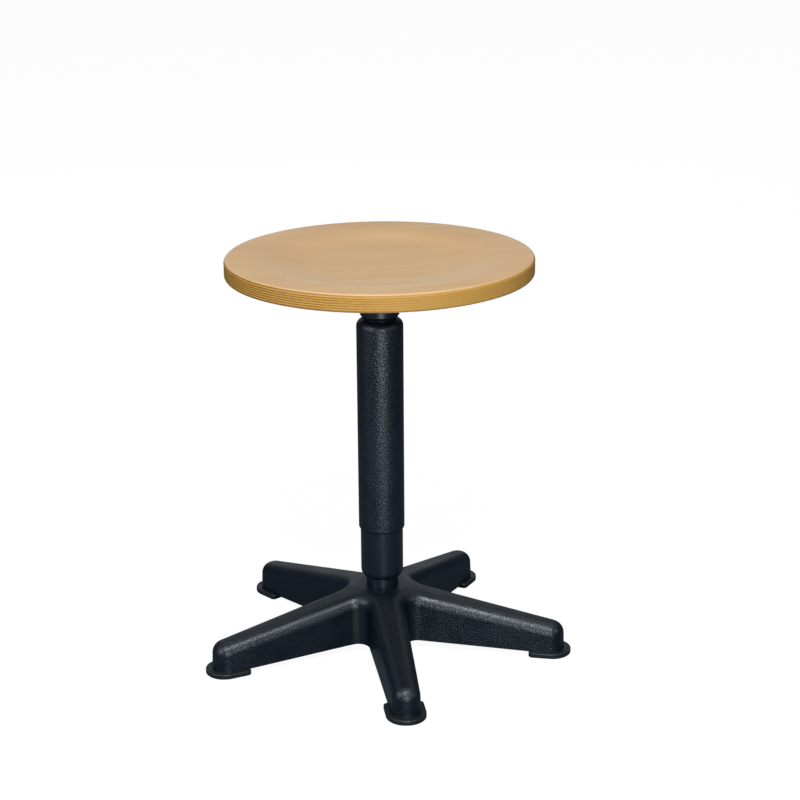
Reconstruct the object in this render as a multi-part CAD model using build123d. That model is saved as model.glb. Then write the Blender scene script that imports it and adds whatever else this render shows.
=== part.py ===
"""Adjustable swivel stool: a round dished plywood seat on a gas-lift column and a five-arm base.

Millimetres. The origin is on the column's axis at floor level, +Z is up, and one arm points along -Y.
"""
from build123d import *
from math import cos, radians, sin, tan
import os

# Seat: pressed beech veneers, round, with a shallow dish
SEAT_RADIUS = 175.0
SEAT_TOP = 475.0                # height of the flat rim
SEAT_THICKNESS = 20.0
DISH_DEPTH = 9.0
DISH_FLAT_RADIUS = 75.0         # flat middle of the dish, where the screw plate sits
DISH_RIM_RADIUS = 152.0         # where the dish meets the flat rim
SEAT_TOP_ROUND = 4.0
SEAT_BOTTOM_ROUND = 2.5

# Screw plate, bracket and neck under the seat
PLATE_SIDE = 104.0
PLATE_CORNER = 10.0
PLATE_THICKNESS = 3.0
SCREW_SPACING = 80.0
SCREW_HOLE = 5.5
SCREW_SHANK = 5.0
SCREW_LENGTH = 15.0
SCREW_HEAD = 10.0
SCREW_HEAD_HEIGHT = 3.2
SCREW_SLOT_LENGTH = 5.0
SCREW_SLOT_WIDTH = 1.2
SCREW_SLOT_DEPTH = 1.8
BRACKET_WIDTH = 45.0
BRACKET_WALL = 2.5
BRACKET_DEPTH = 24.0
BRACKET_FRONT = -34.0
BRACKET_REAR = 40.0
NECK_TOP_DIAMETER = 45.0
NECK_LOW_DIAMETER = 38.0
NECK_STRAIGHT = 0.4             # height of the straight band at the foot of the neck
NECK_FLARE = 4.2                # height of the flare above it
SOCKET_TUBE_DIAMETER = 36.0     # the part of the socket that is welded through the bracket
SOCKET_LOW = 402.2
SOCKET_HIGH = 434.0
SOCKET_PLAY = 0.02

# Release lever, standing on edge in the bracket
LEVER_THICKNESS = 4.0
LEVER_ARM = 27.0                # from the pivot to the release pin
LEVER_PIVOT_HEIGHT = 430.0
LEVER_BOSS_RADIUS = 6.5
LEVER_END = 140.0
TAIL_HEIGHT = 424.0
TAIL_DEPTH = 8.0
NOSE_BOTTOM = 438.5
NOSE_TOP = 442.0
LEVER_OUTLINE_FRONT = ((17.0, 438.5), (21.5, 433.5), (24.0, 424.5), (30.0, 423.9))
LEVER_OUTLINE_REAR = ((33.0, 434.5), (24.0, 442.0))
LEVER_NOSE_REACH = 5.0          # how far the nose runs past the column's axis
LEVER_TAIL_START = 58.0
PIVOT_DIAMETER = 6.0
PIVOT_LENGTH = 51.0
SPACER_DIAMETER = 10.0
SPACER_GAP = 0.3
CLIP_DIAMETER = 11.0
CLIP_THICKNESS = 1.0
GRIP_START = 84.0
GRIP_END = 150.0
GRIP_WIDTH = 24.0
GRIP_DEPTH = 12.0
GRIP_ROUND = 4.0

# Gas spring
PRESSURE_DIAMETER = 28.0
PRESSURE_BORE = 24.0
PRESSURE_LOW = 115.0
PRESSURE_LIP_BORE = 20.0
PRESSURE_LIP_ROUND = 1.5
CONE_LOW = 402.0
CONE_HIGH = 434.0
CONE_TOP_DIAMETER = 26.4
INNER_DIAMETER = 22.4
INNER_BORE = 20.0
VALVE_SPIGOT_LOW = 392.0
VALVE_LOW = 400.0
VALVE_HIGH = 430.0
VALVE_SEAL_SECTION = 0.9        # radius of an O-ring's section
VALVE_GROOVE_BORE = 20.2
VALVE_GROOVE_HEIGHT = 2.2
RELEASE_DIAMETER = 8.0
RELEASE_LOW = 398.0
RELEASE_HIGH = 438.2
GUIDE_LOW = 117.0
GUIDE_HIGH = 127.0
SEAL_HIGH = 133.0
ROD_DIAMETER = 10.0
ROD_NECK_DIAMETER = 8.0
ROD_STUD_DIAMETER = 6.0
ROD_BOTTOM = 18.0
ROD_FOOT_CHAMFER = 0.6
PISTON_LOW = 216.0
PISTON_HIGH = 230.0
PISTON_NUT_HIGH = 235.0
PISTON_NUT_RADIUS = 5.0         # across the flats
PISTON_GROOVE_BORE = 17.0
PISTON_GROOVE_LOW = 222.0
PISTON_GROOVE_HIGH = 224.0
RUNNING = 0.05                  # radial clearance of a running fit

# Thrust bearing at the foot of the rod
BEARING_LOW = 28.0
WASHER_DIAMETER = 29.0
WASHER_THICKNESS = 2.5
LOWER_WASHER_BORE = 10.5
BALL_DIAMETER = 5.0
BALL_CIRCLE = 21.0
BALL_COUNT = 12
GROOVE_DEPTH = 0.8
BALL_CLEARANCE = 0.03
CAGE_THICKNESS = 1.5
CAGE_WIDTH = 7.0
CAGE_POCKET_PLAY = 0.2
BUFFER_DIAMETER = 24.0
BUFFER_HIGH = 59.5
BUFFER_WAIST = 1.6
ROD_CLIP_THICKNESS = 1.2
ROD_CLIP_WIDTH = 3.0
ROD_CLIP_OPENING = 4.0
ROD_GROOVE = 0.8
CLIP_WASHER_THICKNESS = 1.5
CLIP_WASHER_GAP = 0.3

# Cover sleeve
SLEEVE_DIAMETER = 54.0
SLEEVE_BORE = 50.8
SLEEVE_LOW = 146.0
SLEEVE_HIGH = 402.0
SLEEVE_SHOULDER = 9.0
SLEEVE_TOP_WALL = 3.0
SLEEVE_INNER_ROUND = 7.5
SLEEVE_CHAMFER = 1.2
SLEEVE_CHAMFER_HEIGHT = 2.4
RING_LOW = 386.0
RING_HIGH = 391.0

# Stand tube
TUBE_DIAMETER = 50.0
TUBE_WALL = 1.5
TUBE_TOP = 310.0
SHOULDER_HIGH = 94.0
SHOULDER_LOW = 85.0
SPIGOT_TOP_DIAMETER = 38.0
SPIGOT_LOW_DIAMETER = 37.0
SPIGOT_LOW = 22.0
SPIGOT_WALL = 1.5
COLLAR_LINE_LOW = 82.4          # turned line round the spigot, just under the shoulder
COLLAR_LINE_HIGH = 83.2
COLLAR_LINE_DEPTH = 0.35
LIP_BORE = 30.0
LIP_HEIGHT = 2.0
END_PLATE_THICKNESS = 4.0
BUSH_LOW = 232.0
BUSH_FLANGE = 3.0
BUSH_FLANGE_INSET = 0.2
BUSH_FLUTES = 8
BUSH_FLUTE_DEPTH = 7.0
BUSH_FLUTE_WIDTH = 4.0
BUSH_SOLID_TOP = 15.0           # height of the band under the flange that has no flutes

# Five-arm base
ARM_COUNT = 5
TIP_RADIUS = 17.3               # round end of an arm, in plan
TIP_CENTRE = 201.5
ARM_TAPER = 1.94                # degrees, each side, in plan
ARM_DRAFT = 2.2                 # degrees, on the side walls
ARM_WEB_ROUND = 14.0            # between neighbouring arms
HUB_TOP = 73.5
HUB_TOP_RADIUS = 30.0
ARM_TOP_AT_TIP = 39.5
ARM_TOP_ROUND = 14.0
ARCH_HEIGHT = 12.0              # underside near the hub
ARCH_RADIUS = 45.0
PAD_RADIUS = 178.0              # underside is flat from here outwards
PAD_HEIGHT = 6.0
SKIN = 3.6
HUB_BOSS_DIAMETER = 54.0
INSERT_DIAMETER = 45.0
INSERT_LOW = 24.0
INSERT_HIGH = 70.0
INSERT_PLAY = 0.02
SKIN_TOP_EXTRA = 0.4            # the top of the skin is this much thicker than its walls
SKIN_LIFT = 1.0                 # the cavity's cutter runs this far below the underside
HUB_PLAY = 0.6                  # clearance of the spigot in the moulding above and below the insert
RIB_THICKNESS = 3.0
RIB_RECESS = 3.0
RIB_REACH = 60.0                # wider than any arm
CROSS_RIBS = (70.0, 105.0, 140.0, 172.0)
STEM_RADIUS_OUT = 200.0
STEM_DIAMETER = 11.0
STEM_LOW = 2.0
STEM_HIGH = 26.0
STEM_BOSS_DIAMETER = 20.0
STEM_CHAMFER = 1.0

# Glides
GLIDE_CENTRE = 203.6
GLIDE_RADIUS = 22.8
GLIDE_INNER = 178.5
GLIDE_CORNER = 5.0
GLIDE_SOLE_CHAMFER = 0.8
GLIDE_TOP_ROUND = 1.2
GLIDE_GROOVE_OUT = 2.6
GLIDE_GROOVE = 0.8

BASE_ALIGN = (Align.CENTER, Align.CENTER, Align.MIN)
GLIDE_NAMES = (
    "glide_front", "glide_right_front", "glide_right_rear", "glide_left_rear", "glide_left_front",
)


def rod(diameter, low, high):
    """Upright cylinder on the column's axis."""
    return Pos(0, 0, low) * Cylinder(diameter / 2, high - low, align=BASE_ALIGN)


def ring(outer, bore, low, high):
    """Upright tube on the column's axis."""
    return rod(outer, low, high) - rod(bore, low - 1, high + 1)


def turned(*edges):
    """Solid of revolution about the column's axis; the edges are drawn as (radius, height)."""
    return revolve(Plane.XZ * make_face(Curve() + list(edges)), Axis.Z)


def turned_outline(*points):
    """Solid of revolution from straight runs between (radius, height) points."""
    return turned(*Polyline(*points, close=True).edges())


def around(solid, count, radius, start=0.0):
    """Copies of a solid spaced evenly on a circle, as separate solids."""
    place = Pos(radius, 0, 0) * solid
    return [Rot(0, 0, start + 360 * i / count) * place for i in range(count)]


# ---------------------------------------------------------------- seat

def seat_board():
    """Round board of even thickness whose middle is pressed down into a shallow dish."""
    middle = (DISH_FLAT_RADIUS + DISH_RIM_RADIUS) / 2

    def face_line(rim_height, inset):
        flat = Line((0, rim_height - DISH_DEPTH), (DISH_FLAT_RADIUS, rim_height - DISH_DEPTH))
        halfway = (middle, rim_height - DISH_DEPTH / 2)
        lower = TangentArc(flat @ 1, halfway, tangent=(1, 0))
        upper = TangentArc(lower @ 1, (DISH_RIM_RADIUS, rim_height), tangent=lower % 1)
        rim = Line(upper @ 1, (SEAT_RADIUS - inset, rim_height))
        return [flat, lower, upper, rim]

    bottom = SEAT_TOP - SEAT_THICKNESS
    wall_high = SEAT_TOP - SEAT_TOP_ROUND
    wall_low = bottom + SEAT_BOTTOM_ROUND
    upper_face = face_line(SEAT_TOP, SEAT_TOP_ROUND)
    lower_face = face_line(bottom, SEAT_BOTTOM_ROUND)
    top_round = TangentArc(upper_face[-1] @ 1, (SEAT_RADIUS, wall_high), tangent=(1, 0))
    bottom_round = TangentArc(lower_face[-1] @ 1, (SEAT_RADIUS, wall_low), tangent=(1, 0))
    wall = Line((SEAT_RADIUS, wall_high), (SEAT_RADIUS, wall_low))
    axis_line = Line((0, bottom - DISH_DEPTH), (0, SEAT_TOP - DISH_DEPTH))
    board = turned(*upper_face, *lower_face, top_round, bottom_round, wall, axis_line)
    screw_hole = rod(SCREW_SHANK, plate_top() - 1, plate_bottom() + SCREW_LENGTH)
    return board - [Pos(x, y, 0) * screw_hole for x, y in screw_places()]


def plate_top():
    """Height of the flat middle of the board's underside."""
    return SEAT_TOP - SEAT_THICKNESS - DISH_DEPTH


def plate_bottom():
    return plate_top() - PLATE_THICKNESS


def screw_places():
    half = SCREW_SPACING / 2
    return [(x, y) for x in (-half, half) for y in (-half, half)]


def seat_plate():
    """Flat steel plate with rounded corners and four screw holes."""
    outline = RectangleRounded(PLATE_SIDE, PLATE_SIDE, PLATE_CORNER)
    holes = [Pos(x, y) * Circle(SCREW_HOLE / 2) for x, y in screw_places()]
    return Pos(0, 0, plate_bottom()) * extrude(outline - holes, PLATE_THICKNESS)


def seat_screws():
    """Four pan-head wood screws, driven up through the plate."""
    top = plate_bottom()
    radius = SCREW_SHANK / 2
    tip = top + SCREW_LENGTH
    shank = turned_outline((0, top), (radius, top), (radius, tip - radius), (0, tip))
    head = rod(SCREW_HEAD, top - SCREW_HEAD_HEIGHT, top)
    head = fillet(head.edges().group_by(Axis.Z)[0], SCREW_HEAD_HEIGHT * 0.6)
    slot = Box(SCREW_SLOT_LENGTH, SCREW_SLOT_WIDTH, 2 * SCREW_SLOT_DEPTH)
    slot = Pos(0, 0, top - SCREW_HEAD_HEIGHT) * slot
    screw = shank + head - slot - Rot(0, 0, 90) * slot
    return Part() + [Pos(x, y, 0) * screw for x, y in screw_places()]


def seat_bracket():
    """Channel pressed from steel sheet, open at both ends, welded under the plate by its two walls."""
    length = BRACKET_REAR - BRACKET_FRONT
    centre = (BRACKET_REAR + BRACKET_FRONT) / 2
    low = plate_bottom() - BRACKET_DEPTH
    outer = Box(BRACKET_WIDTH, length, BRACKET_DEPTH, align=BASE_ALIGN)
    outer = fillet(outer.edges().filter_by(Axis.Y).group_by(Axis.Z)[0], 2 * BRACKET_WALL)
    inner = Box(BRACKET_WIDTH - 2 * BRACKET_WALL, length + 2, BRACKET_DEPTH, align=BASE_ALIGN)
    inner = fillet(inner.edges().filter_by(Axis.Y).group_by(Axis.Z)[0], BRACKET_WALL)
    channel = Pos(0, centre, low) * (outer - Pos(0, 0, BRACKET_WALL) * inner)
    socket_hole = rod(SOCKET_TUBE_DIAMETER, low - 1, low + 2 * BRACKET_WALL)
    return channel - socket_hole - pivot_cylinder(PIVOT_DIAMETER, PIVOT_LENGTH)


def cone_socket():
    """Turned neck: a flare below the bracket, a straight part welded through it, a conical bore."""
    bracket_low = plate_bottom() - BRACKET_DEPTH
    low_radius = NECK_LOW_DIAMETER / 2
    top_radius = NECK_TOP_DIAMETER / 2
    flare_low = SOCKET_LOW + NECK_STRAIGHT
    flare_high = flare_low + NECK_FLARE
    neck = turned(
        Line((0, SOCKET_LOW), (low_radius, SOCKET_LOW)),
        Line((low_radius, SOCKET_LOW), (low_radius, flare_low)),
        TangentArc((low_radius, flare_low), (top_radius, flare_high), tangent=(1, 1)),
        Line((top_radius, flare_high), (top_radius, bracket_low)),
        Line((top_radius, bracket_low), (0, bracket_low)),
        Line((0, bracket_low), (0, SOCKET_LOW)),
    )
    body = neck + rod(SOCKET_TUBE_DIAMETER, bracket_low, SOCKET_HIGH)
    return body - cone(SOCKET_PLAY, SOCKET_LOW - 2, SOCKET_HIGH + 2)


def cone(clearance, low, high):
    """Frustum on the gas spring's cone, wider by a clearance all round and run on to any height."""
    slope = (PRESSURE_DIAMETER - CONE_TOP_DIAMETER) / 2 / (CONE_HIGH - CONE_LOW)
    low_radius = PRESSURE_DIAMETER / 2 - slope * (low - CONE_LOW) + clearance
    high_radius = PRESSURE_DIAMETER / 2 - slope * (high - CONE_LOW) + clearance
    return turned_outline((0, low), (low_radius, low), (high_radius, high), (0, high))


# ---------------------------------------------------------------- release lever

def pivot_cylinder(diameter, length, start=None):
    """Cylinder along X through the lever's pivot, centred unless it is given a start."""
    first = -length / 2 if start is None else start
    centre = (first, LEVER_ARM, LEVER_PIVOT_HEIGHT)
    along_x = Plane(origin=centre, x_dir=(0, 1, 0), z_dir=(1, 0, 0))
    return extrude(along_x * Circle(diameter / 2), length)


def release_lever():
    """Stamped lever: a nose over the release pin, a boss on the pivot and a long tail."""
    tail_low = TAIL_HEIGHT - TAIL_DEPTH / 2
    tail_high = TAIL_HEIGHT + TAIL_DEPTH / 2
    outline = Polyline(
        (-LEVER_NOSE_REACH, NOSE_BOTTOM), *LEVER_OUTLINE_FRONT, (LEVER_TAIL_START, tail_low),
        (LEVER_END, tail_low), (LEVER_END, tail_high), (LEVER_TAIL_START, tail_high),
        *LEVER_OUTLINE_REAR, (-LEVER_NOSE_REACH, NOSE_TOP),
        close=True,
    )
    side = make_face(outline.edges()) + Pos(LEVER_ARM, LEVER_PIVOT_HEIGHT) * Circle(LEVER_BOSS_RADIUS)
    blank = extrude(Plane.YZ * side, LEVER_THICKNESS / 2, both=True)
    return blank - pivot_cylinder(PIVOT_DIAMETER + 2 * RUNNING, PIVOT_LENGTH)


def lever_grip(lever):
    """Moulded paddle pushed over the lever's tail."""
    length = GRIP_END - GRIP_START
    plan = RectangleRounded(GRIP_WIDTH, length, GRIP_WIDTH / 2 - 2)
    paddle = extrude(plan, GRIP_DEPTH / 2, both=True)
    rims = paddle.edges().group_by(Axis.Z)
    paddle = fillet(rims[0] + rims[-1], GRIP_ROUND)
    return Pos(0, GRIP_START + length / 2, TAIL_HEIGHT) * paddle - lever


def lever_spacers():
    """Two tubes on the pivot pin that keep the lever in the middle of the bracket."""
    start = LEVER_THICKNESS / 2 + SPACER_GAP
    length = BRACKET_WIDTH / 2 - BRACKET_WALL - start
    tube = pivot_cylinder(SPACER_DIAMETER, length, start)
    tube = tube - pivot_cylinder(PIVOT_DIAMETER, PIVOT_LENGTH)
    return Part() + [tube, tube.mirror(Plane.YZ)]


def pin_clips():
    """Two spring clips pushed on the ends of the pivot pin, outside the bracket."""
    clip = pivot_cylinder(CLIP_DIAMETER, CLIP_THICKNESS, BRACKET_WIDTH / 2)
    clip = clip - pivot_cylinder(PIVOT_DIAMETER, PIVOT_LENGTH)
    return Part() + [clip, clip.mirror(Plane.YZ)]


# ---------------------------------------------------------------- gas spring, upper part

def pressure_tube():
    """Outer tube of the gas spring, with a conical closed top and a rolled lower lip."""
    body = rod(PRESSURE_DIAMETER, PRESSURE_LOW, CONE_LOW) + cone(0, CONE_LOW, CONE_HIGH)
    body = body - rod(PRESSURE_BORE, GUIDE_LOW, VALVE_HIGH)
    body = body - rod(RELEASE_DIAMETER + 0.4, VALVE_HIGH - 1, CONE_HIGH + 1)
    body = body - rod(PRESSURE_LIP_BORE, PRESSURE_LOW - 1, GUIDE_LOW + 1)
    lip_edges = body.edges().filter_by(GeomType.CIRCLE).group_by(Axis.Z)[0]
    return fillet(lip_edges.sort_by(SortBy.RADIUS)[-1], PRESSURE_LIP_ROUND)


def inner_tube():
    """Cylinder that the piston runs in."""
    return ring(INNER_DIAMETER, INNER_BORE, SEAL_HIGH, VALVE_LOW)


def valve_heights():
    step = (VALVE_HIGH - VALVE_LOW) / 3
    return (VALVE_LOW + step, VALVE_LOW + 2 * step)


def valve_body():
    """Valve housing with two seal grooves, a spigot into the inner tube and a bore for the release pin."""
    body = rod(PRESSURE_BORE, VALVE_LOW, VALVE_HIGH) + rod(INNER_BORE, VALVE_SPIGOT_LOW, VALVE_LOW)
    half = VALVE_GROOVE_HEIGHT / 2
    grooves = [
        ring(PRESSURE_BORE + 2, VALVE_GROOVE_BORE, z - half, z + half) for z in valve_heights()
    ]
    return body - grooves - rod(RELEASE_DIAMETER + 2 * RUNNING, VALVE_SPIGOT_LOW - 1, VALVE_HIGH + 1)


def valve_seals():
    """Two O-rings in the valve body's grooves."""
    seal = Torus(PRESSURE_BORE / 2 - VALVE_SEAL_SECTION - RUNNING, VALVE_SEAL_SECTION)
    return Part() + [Pos(0, 0, z) * seal for z in valve_heights()]


def release_pin():
    """Button that opens the valve, with a well rounded top."""
    pin = rod(RELEASE_DIAMETER, RELEASE_LOW, RELEASE_HIGH)
    return fillet(pin.edges().group_by(Axis.Z)[-1], RELEASE_DIAMETER * 0.35)


# ---------------------------------------------------------------- rod and bearing

def ball_height():
    return BEARING_LOW + WASHER_THICKNESS - GROOVE_DEPTH + BALL_CLEARANCE + BALL_DIAMETER / 2


def upper_washer_low():
    return 2 * ball_height() - BEARING_LOW - WASHER_THICKNESS


def rod_shoulder():
    """Height where the rod's full diameter starts, on top of the upper washer."""
    return upper_washer_low() + WASHER_THICKNESS


def washer(low, bore):
    """Bearing washer with a raceway on the side that faces the balls."""
    raceway = Pos(0, 0, ball_height()) * Torus(BALL_CIRCLE / 2, BALL_DIAMETER / 2 + BALL_CLEARANCE)
    return ring(WASHER_DIAMETER, bore, low, low + WASHER_THICKNESS) - raceway


def ball_cage():
    """Flat ring with a pocket for each ball."""
    middle = ball_height()
    half = CAGE_THICKNESS / 2
    plate = ring(BALL_CIRCLE + CAGE_WIDTH, BALL_CIRCLE - CAGE_WIDTH, middle - half, middle + half)
    pocket = rod(BALL_DIAMETER + CAGE_POCKET_PLAY, middle - 2, middle + 2)
    return plate - around(pocket, BALL_COUNT, BALL_CIRCLE / 2)


def bearing_balls():
    """Twelve balls on one circle."""
    ball = Pos(0, 0, ball_height()) * Sphere(BALL_DIAMETER / 2)
    return Part() + around(ball, BALL_COUNT, BALL_CIRCLE / 2)


def clip_heights():
    """Lower and upper faces of the groove for the rod's clip, just under the end plate."""
    high = end_plate_low() - CLIP_WASHER_THICKNESS
    return high - ROD_CLIP_THICKNESS, high


def end_plate_low():
    return SPIGOT_LOW + LIP_HEIGHT


def piston_rod():
    """Rod with a neck through the bearing, a clip groove at its foot and a stud for the piston."""
    clip_low, clip_high = clip_heights()
    body = rod(ROD_DIAMETER, rod_shoulder(), PISTON_LOW)
    body = body + rod(ROD_NECK_DIAMETER, ROD_BOTTOM, rod_shoulder())
    body = body + rod(ROD_STUD_DIAMETER, PISTON_LOW, PISTON_NUT_HIGH + 1)
    groove_bore = ROD_NECK_DIAMETER - 2 * ROD_GROOVE
    body = body - ring(ROD_NECK_DIAMETER + 2, groove_bore, clip_low, clip_high)
    return chamfer(body.edges().group_by(Axis.Z)[0], ROD_FOOT_CHAMFER)


def piston():
    """Turned piston with a groove for its seal."""
    groove = ring(INNER_BORE + 2, PISTON_GROOVE_BORE, PISTON_GROOVE_LOW, PISTON_GROOVE_HIGH)
    return ring(INNER_BORE - 2 * RUNNING, ROD_STUD_DIAMETER, PISTON_LOW, PISTON_HIGH) - groove


def piston_seal():
    """Square ring in the piston's groove."""
    outer = INNER_BORE - 2 * RUNNING
    return ring(outer, PISTON_GROOVE_BORE, PISTON_GROOVE_LOW, PISTON_GROOVE_HIGH)


def piston_nut():
    """Hexagon nut that holds the piston on the rod's stud."""
    hexagon = RegularPolygon(PISTON_NUT_RADIUS, 6, major_radius=False)
    nut = Pos(0, 0, PISTON_HIGH) * extrude(hexagon, PISTON_NUT_HIGH - PISTON_HIGH)
    return nut - rod(ROD_STUD_DIAMETER, PISTON_HIGH - 1, PISTON_NUT_HIGH + 1)


def rubber_buffer():
    """Rubber end stop round the rod, waisted in the middle."""
    low = rod_shoulder()
    middle = (low + BUFFER_HIGH) / 2
    radius = BUFFER_DIAMETER / 2
    return turned(
        Line((ROD_DIAMETER / 2, low), (radius, low)),
        ThreePointArc((radius, low), (radius - BUFFER_WAIST, middle), (radius, BUFFER_HIGH)),
        Line((radius, BUFFER_HIGH), (ROD_DIAMETER / 2, BUFFER_HIGH)),
        Line((ROD_DIAMETER / 2, BUFFER_HIGH), (ROD_DIAMETER / 2, low)),
    )


def rod_clip():
    """Open spring clip in the rod's groove."""
    low, high = clip_heights()
    bore = ROD_NECK_DIAMETER - 2 * ROD_GROOVE
    clip = ring(ROD_NECK_DIAMETER + 2 * ROD_CLIP_WIDTH, bore, low, high)
    opening = Box(ROD_CLIP_OPENING, 2 * ROD_NECK_DIAMETER, 4 * ROD_CLIP_THICKNESS)
    return clip - Pos(0, ROD_NECK_DIAMETER, low) * opening


def clip_washer():
    """Washer between the rod's clip and the end plate."""
    low = clip_heights()[1]
    return ring(ROD_NECK_DIAMETER * 2, ROD_NECK_DIAMETER, low, end_plate_low() - CLIP_WASHER_GAP)


# ---------------------------------------------------------------- column

def cover_sleeve():
    """Moulded sleeve with a domed top, a hole for the pressure tube and a chamfered lower edge."""
    radius = SLEEVE_DIAMETER / 2
    body = rod(SLEEVE_DIAMETER, SLEEVE_LOW, SLEEVE_HIGH)
    body = fillet(body.edges().group_by(Axis.Z)[-1], SLEEVE_SHOULDER)
    bore = rod(SLEEVE_BORE, SLEEVE_LOW - 1, SLEEVE_HIGH - SLEEVE_TOP_WALL)
    bore = fillet(bore.edges().group_by(Axis.Z)[-1], SLEEVE_INNER_ROUND)
    chamfer_ring = turned_outline(
        (radius - SLEEVE_CHAMFER, SLEEVE_LOW), (radius + 1, SLEEVE_LOW - 1),
        (radius + 1, SLEEVE_LOW + 4), (radius, SLEEVE_LOW + SLEEVE_CHAMFER_HEIGHT),
    )
    tube_hole = rod(PRESSURE_DIAMETER, SLEEVE_HIGH - 2 * SLEEVE_TOP_WALL, SLEEVE_HIGH + 1)
    return body - bore - tube_hole - chamfer_ring


def tube_profile(wall):
    """Closed outline of the stand tube's outside, moved in by a wall thickness."""
    top = TUBE_DIAMETER / 2 - wall
    spigot = SPIGOT_TOP_DIAMETER / 2 - wall
    foot = SPIGOT_LOW_DIAMETER / 2 - wall
    low = SHOULDER_LOW - wall / 2
    high = SHOULDER_HIGH - wall / 2
    return turned(
        Line((0, SPIGOT_LOW), (foot, SPIGOT_LOW)),
        Line((foot, SPIGOT_LOW), (spigot, low)),
        TangentArc((top, high), (spigot, low), tangent=(0, -1)),
        Line((top, high), (top, TUBE_TOP)),
        Line((top, TUBE_TOP), (0, TUBE_TOP)),
        Line((0, TUBE_TOP), (0, SPIGOT_LOW)),
    )


def stand_tube():
    """Column tube drawn in to a tapered spigot, with its lower end rolled in under the end plate."""
    hollow = tube_profile(TUBE_WALL) - rod(TUBE_DIAMETER, SPIGOT_LOW - 1, end_plate_low())
    lip_hole = rod(LIP_BORE, SPIGOT_LOW - 1, end_plate_low() + 1)
    line_bore = SPIGOT_TOP_DIAMETER - 2 * COLLAR_LINE_DEPTH
    line = ring(TUBE_DIAMETER, line_bore, COLLAR_LINE_LOW, COLLAR_LINE_HIGH)
    return tube_profile(0) - hollow - lip_hole - line


def spigot_radius(height):
    grow = (SPIGOT_TOP_DIAMETER - SPIGOT_LOW_DIAMETER) / 2 / (SHOULDER_LOW - SPIGOT_LOW)
    return SPIGOT_LOW_DIAMETER / 2 + grow * (height - SPIGOT_LOW)


def end_plate():
    """Disc in the foot of the stand tube, which carries the bearing."""
    low = end_plate_low()
    radius = spigot_radius(low) - TUBE_WALL - RUNNING
    return ring(2 * radius, ROD_NECK_DIAMETER + 2 * RUNNING, low, low + END_PLATE_THICKNESS)


def guide_bush():
    """Long plastic bush that guides the pressure tube, with a flange on the stand tube's rim."""
    bore = TUBE_DIAMETER - 2 * TUBE_WALL
    high = TUBE_TOP + BUSH_FLANGE
    body = rod(bore, BUSH_LOW, TUBE_TOP) + rod(TUBE_DIAMETER - 2 * BUSH_FLANGE_INSET, TUBE_TOP, high)
    body = body - rod(PRESSURE_DIAMETER + 2 * RUNNING, BUSH_LOW - 1, high + 1)
    flute_height = TUBE_TOP - BUSH_SOLID_TOP - BUSH_LOW + 1
    flute = Box(BUSH_FLUTE_DEPTH, BUSH_FLUTE_WIDTH, flute_height, align=BASE_ALIGN)
    return body - around(Pos(0, 0, BUSH_LOW - 1) * flute, BUSH_FLUTES, bore / 2)


# ---------------------------------------------------------------- base

def star_plan(inset):
    """Plan of the five arms at floor level, moved in by an inset, with rounded webs between the arms."""
    radius = TIP_RADIUS - inset
    lean = radians(ARM_TAPER)
    touch = (TIP_CENTRE + radius * sin(lean), radius * cos(lean))
    root = touch[1] + touch[0] * tan(lean)
    outline = [
        Line((0, -root), (touch[0], -touch[1])),
        ThreePointArc((touch[0], -touch[1]), (TIP_CENTRE + radius, 0), touch),
        Line(touch, (0, root)),
        Line((0, root), (0, -root)),
    ]
    arm = make_face(outline)
    plan = Sketch() + [Rot(0, 0, -90 + 360 * i / ARM_COUNT) * arm for i in range(ARM_COUNT)]
    corners = plan.vertices().sort_by(lambda v: v.X ** 2 + v.Y ** 2)[:ARM_COUNT]
    return fillet(corners, ARM_WEB_ROUND + inset)


def star_block(inset, drop, top_round, lift):
    """Solid star with drafted walls, a sloping top lowered by a drop and a rounded upper edge."""
    walls = extrude(star_plan(inset), HUB_TOP + 10, taper=ARM_DRAFT)
    reach = TIP_CENTRE + TIP_RADIUS + 10
    fall = (HUB_TOP - ARM_TOP_AT_TIP) / (TIP_CENTRE - HUB_TOP_RADIUS)
    far_top = HUB_TOP - fall * (reach - HUB_TOP_RADIUS)
    arch = ARCH_HEIGHT - lift
    pad = PAD_HEIGHT - lift
    envelope = turned_outline(
        (0, arch), (ARCH_RADIUS, arch), (PAD_RADIUS, pad), (reach, pad),
        (reach, far_top - drop), (HUB_TOP_RADIUS, HUB_TOP - drop), (0, HUB_TOP - drop),
    )
    block = walls & envelope
    top_faces = block.faces().filter_by(lambda f: f.normal_at(None).Z > 0.5)
    roof = top_faces.sort_by(SortBy.AREA)[-1]
    return fillet(roof.outer_wire().edges(), top_round)


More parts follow.
